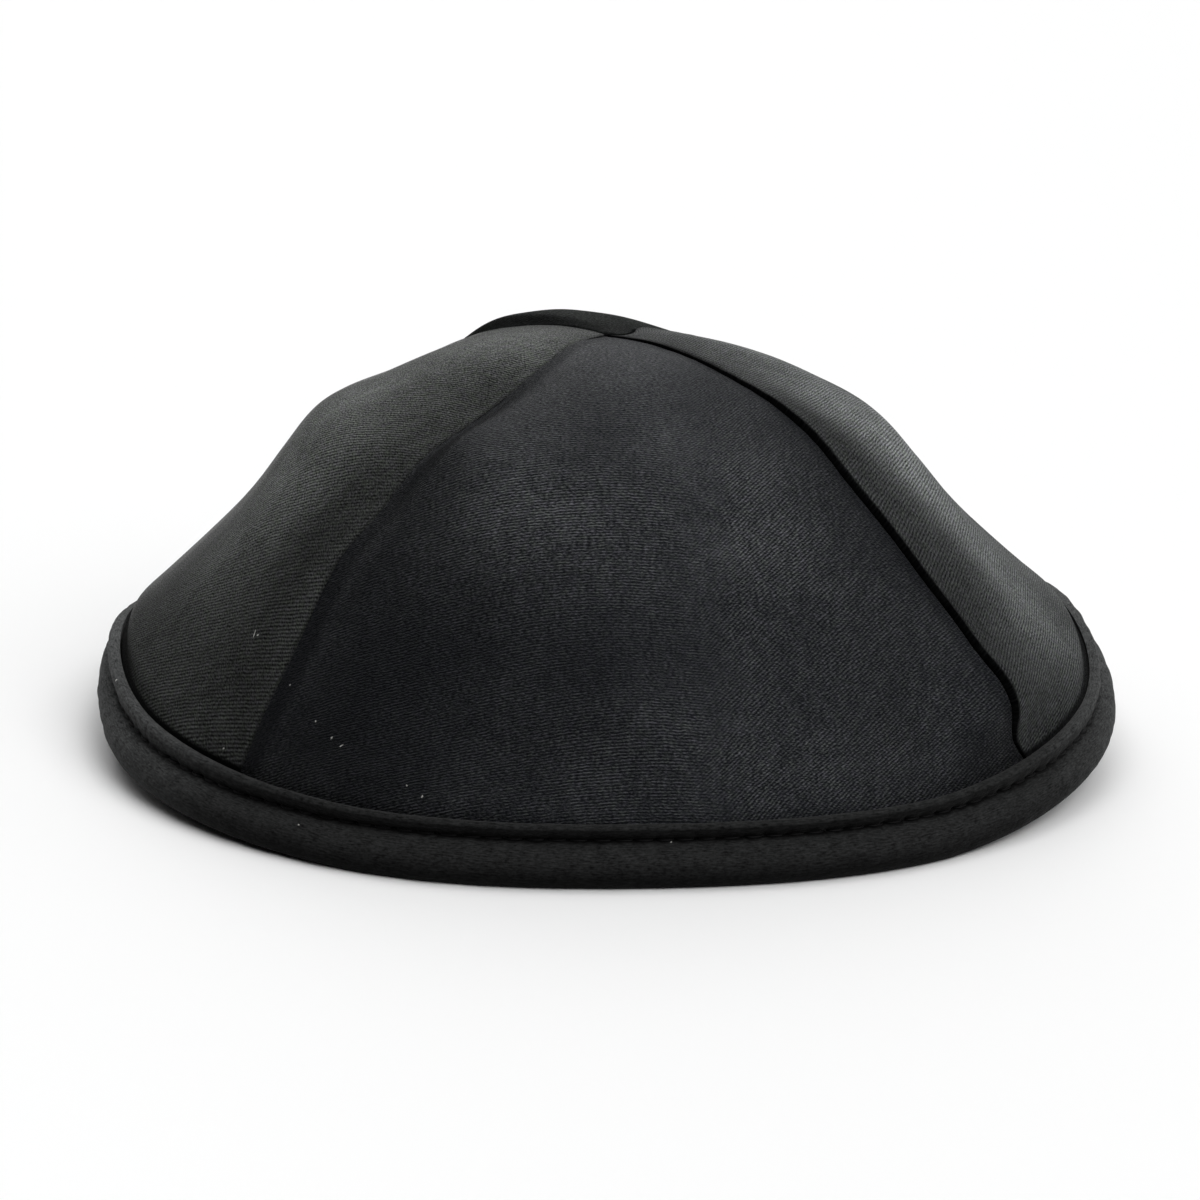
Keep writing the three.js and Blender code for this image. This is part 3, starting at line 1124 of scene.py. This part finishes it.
# Ribs and the short dashes along them, which take another direction past the panel's slant
def weaveOf(made, flat, look):
    pitch, turn, slant = look["ribPitch"], look["ribTurn"], look["slant"]
    ribs, dashes = ribWave(made, flat, turn, pitch), made.spread(flat, "dashes", turn)
    if slant:
        across = made.plus(made.part(flat, "X"), made.wander(flat, "slant", slant["wander"]))
        share = made.ramp(across, slant["from"], slant["to"], 0, 1)
        ribs = made.mixValue(share, ribs, ribWave(made, flat, slant["turn"], pitch))
        dashes = made.mixValue(share, dashes, made.spread(flat, "dashes", slant["turn"]))
    return ribs, dashes


# Painted shade: darker in the strips beside the seams, at the seams' own lines and just above the
# binding, where shade falls
def seamAndRimShade(made, look):
    fromSeams = made.uvMap("seams")
    aboveRim = made.part(made.uvMap("rim"), "Y")
    keep = made.ramp(aboveRim, *satin["rimShadeEnds"], look["rimShadeTone"], 1)
    for axis, strip, line in zip("XY", look["seamStripShade"], look["lines"]):
        away = made.part(fromSeams, axis)
        keep = made.times(made.ramp(away, *satin["stripShadeEnds"], strip, 1), keep)
        keep = made.times(made.ramp(away, *satin["seamShadeEnds"], line, 1), keep)
    return keep


def satinFinish(look):
    made = Nodes(look["name"])
    flat = made.uvMap("cut")
    ribs, dashes = weaveOf(made, flat, look)
    mottle = made.spread(flat, "mottle")
    # Painted shade beside the seams, in their lines and just above the binding
    keep = seamAndRimShade(made, look)
    ribs = made.times(made.times(ribs, made.spread(flat, "clearness")), keep)
    height = made.times(ribs, satin["ribDepth"])
    height = made.plus(height, made.times(dashes, satin["dashDepth"]))
    height = made.plus(height, made.times(mottle, satin["mottleDepth"]))
    made.bump(height, satin["bump"] * look["relief"])

    tone = made.times(made.plus(ribs, dashes), satin["weaveTone"])
    tone = made.plus(tone, made.times(mottle, satin["mottleTone"]))
    tone = made.times(made.math("POWER", tone, look["contrast"]), keep)
    # Painted highlights and painted shade from the patches
    tone = made.times(tone, paintedLightTone(made, flat, look["patches"]))
    warm = tuple(part * tint for part, tint in zip(look["thread"], satin["tint"])) + (1,)
    tinted = made.mixColour(made.spread(flat, "tints"), look["thread"], warm)
    black = made.mixColour(tone, look["colour"], tinted)
    lint = lintShare(made, flat, look["lint"])
    tangent = made.add("ShaderNodeTangent")
    tangent.direction_type, tangent.uv_map = "UV_MAP", "cut"
    made.give(
        Base_Color=made.mixColour(lint, black, satin["lintColour"]),
        Roughness=made.ramp(dashes, 0, 1, *satin["roughness"]),
        Specular_IOR_Level=look["specular"],
        Specular_Tint=look["shineTint"],
        Anisotropic=satin["anisotropy"],
        Anisotropic_Rotation=satin["tangentTurn"] / 360,
        Sheen_Weight=look["sheen"],
        Sheen_Roughness=satin["sheenRoughness"],
        Tangent=tangent.outputs["Tangent"],
    )
    return made.material


def crepeFinish(name, grooveAround):
    made = Nodes(name)
    flat = made.uvMap("cut")
    crinkle = made.spread(flat, "crinkle")
    threads = made.spread(flat, "crepe_threads")
    mottle = made.spread(flat, "crepe_mottle")
    made.bump(made.plus(crinkle, made.plus(threads, mottle)), crepe["bump"])
    tone = made.times(made.plus(crinkle, threads), crepe["weaveTone"])
    tone = made.plus(tone, made.times(mottle, crepe["mottleTone"]))
    tone = made.plus(tone, crepe["tone"])

    around = made.part(flat, "Y")
    fromFront = made.math("SUBTRACT", made.part(flat, "X"), math.pi * rim["radius"])
    fromFront = made.math("ABSOLUTE", fromFront)
    low, high = crepe["frontEnds"]
    # Painted shade in the groove along the line of stitches
    worn = crepe["worn"]
    fromGroove = made.math("ABSOLUTE", made.math("SUBTRACT", around, grooveAround))
    fromGroove = made.plus(fromGroove, made.wander(flat, "worn", worn["wander"]))
    share = made.ramp(fromGroove, worn["from"], worn["to"], 1, 0)
    share = made.times(share, made.ramp(fromFront, low, high, worn["front"], worn["sides"]))
    tone = made.times(tone, made.math("SUBTRACT", 1, share))

    # Painted shade and light: at the front its upper edge and its foot are painted darker, and it is
    # painted lighter at the cap's two sides
    frontness = made.ramp(fromFront, low, high, 1, 0)
    for part in crepe["frontShadeTones"]:
        wanted = made.ramp(around, part["from"], part["to"], part["before"], part["after"])
        tone = made.times(tone, made.mixValue(frontness, 1, wanted))
    tone = made.times(tone, made.ramp(fromFront, *crepe["sidesStart"], 1, crepe["sideLightTone"]))
    black = made.mixColour(tone, crepe["colour"], crepe["thread"])
    lint = lintShare(made, flat, crepe["lint"])
    made.give(
        Base_Color=made.mixColour(lint, black, satin["lintColour"]),
        Roughness=made.ramp(threads, 0, 1, *crepe["roughness"]),
        Specular_IOR_Level=crepe["specular"],
        Sheen_Weight=crepe["sheen"],
        Sheen_Roughness=crepe["sheenRoughness"],
    )
    return made.material


def threadFinish(name):
    made = Nodes(name)
    place = made.add("ShaderNodeTexCoord").outputs["Object"]
    fibres = made.noise(place, *thread["fibres"])
    # Painted light: paler away from the front
    share = made.ramp(made.part(place, "Y"), thread["paleFrom"] * mm, thread["paleTo"] * mm, 0, 1)
    light = made.mixColour(share, thread["light"], thread["pale"])
    colour = made.mixColour(fibres, thread["dark"], light)
    made.give(Base_Color=colour, Roughness=thread["roughness"], Specular_IOR_Level=thread["specular"])
    made.bump(fibres, thread["bump"], thread["bumpStrength"])
    return made.material


# Surroundings

studio = {
    "floor": (0.9, 0.9, 0.9, 1),
    "floorRadius": 8000,
    "floorCorners": 96,
    "floorRoughness": 0.9,
    "floorSpecular": 0.1,
    "world": 0.01,
    # Wide soft lights far off: where each stands, how far it leans from the zenith, and its width
    "lamps": rowsOf(
        "name azimuth tilt width strength",
        ("overhead_light", 0, 0, 60, 0.9),
        ("high_back_light", 180, 40, 50, 0.9),
        ("low_back_light", 180, 65, 40, 0.5),
        ("left_back_light", -135, 50, 50, 0.35),
        ("right_back_light", 135, 50, 50, 0.4),
        ("right_light", 90, 50, 50, 0.2),
        ("front_right_light", 45, 45, 50, 1.5),
    ),
}


def makeStudio():
    bpy.ops.object.select_all(action="DESELECT")
    corners, radius = studio["floorCorners"], studio["floorRadius"] * mm
    bpy.ops.mesh.primitive_circle_add(vertices=corners, radius=radius, fill_type="NGON")
    floor = bpy.context.object
    floor.name = "floor"
    made = Nodes("pale_floor")
    made.give(
        Base_Color=studio["floor"],
        Roughness=studio["floorRoughness"],
        Specular_IOR_Level=studio["floorSpecular"],
    )
    floor.data.materials.append(made.material)
    world = bpy.data.worlds.new("studio")
    bpy.context.scene.world = world
    world.use_nodes = True
    sky = world.node_tree.nodes["Background"].inputs
    sky["Color"].default_value = (1, 1, 1, 1)
    sky["Strength"].default_value = studio["world"]
    for lamp in studio["lamps"]:
        data = bpy.data.lights.new(lamp["name"], "SUN")
        data.angle = math.radians(lamp["width"])
        data.energy = lamp["strength"]
        obj = bpy.data.objects.new(lamp["name"], data)
        bpy.context.scene.collection.objects.link(obj)
        turn, tilt = math.radians(lamp["azimuth"]), math.radians(lamp["tilt"])
        aside = math.sin(tilt)
        towards = Vector((math.sin(turn) * aside, -math.cos(turn) * aside, math.cos(tilt)))
        obj.rotation_euler = towards.to_track_quat("Z", "Y").to_euler()
    bpy.context.scene.view_settings.view_transform = "Standard"


makeCamera()
print("camera placed")

for panel in panels:
    piece = makePanel(panel)
    piece.data.materials.append(satinFinish({**satin, **satins[panel["name"]]}))
    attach(piece, "root")
    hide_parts(panel["name"])
    print("made", piece.name, len(piece.data.polygons), "faces")

strip, grooveAround = makeBinding()
strip.data.materials.append(crepeFinish("binding_crepe", grooveAround))
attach(strip, "root")
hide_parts("rim_binding")
print("made", strip.name, len(strip.data.polygons), "faces")

stitches = makeStitches()
stitches.data.materials.append(threadFinish("black_thread"))
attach(stitches, "root")
print("made", stitches.name, len(stitches.data.polygons), "faces")

makeStudio()
print("studio lit")
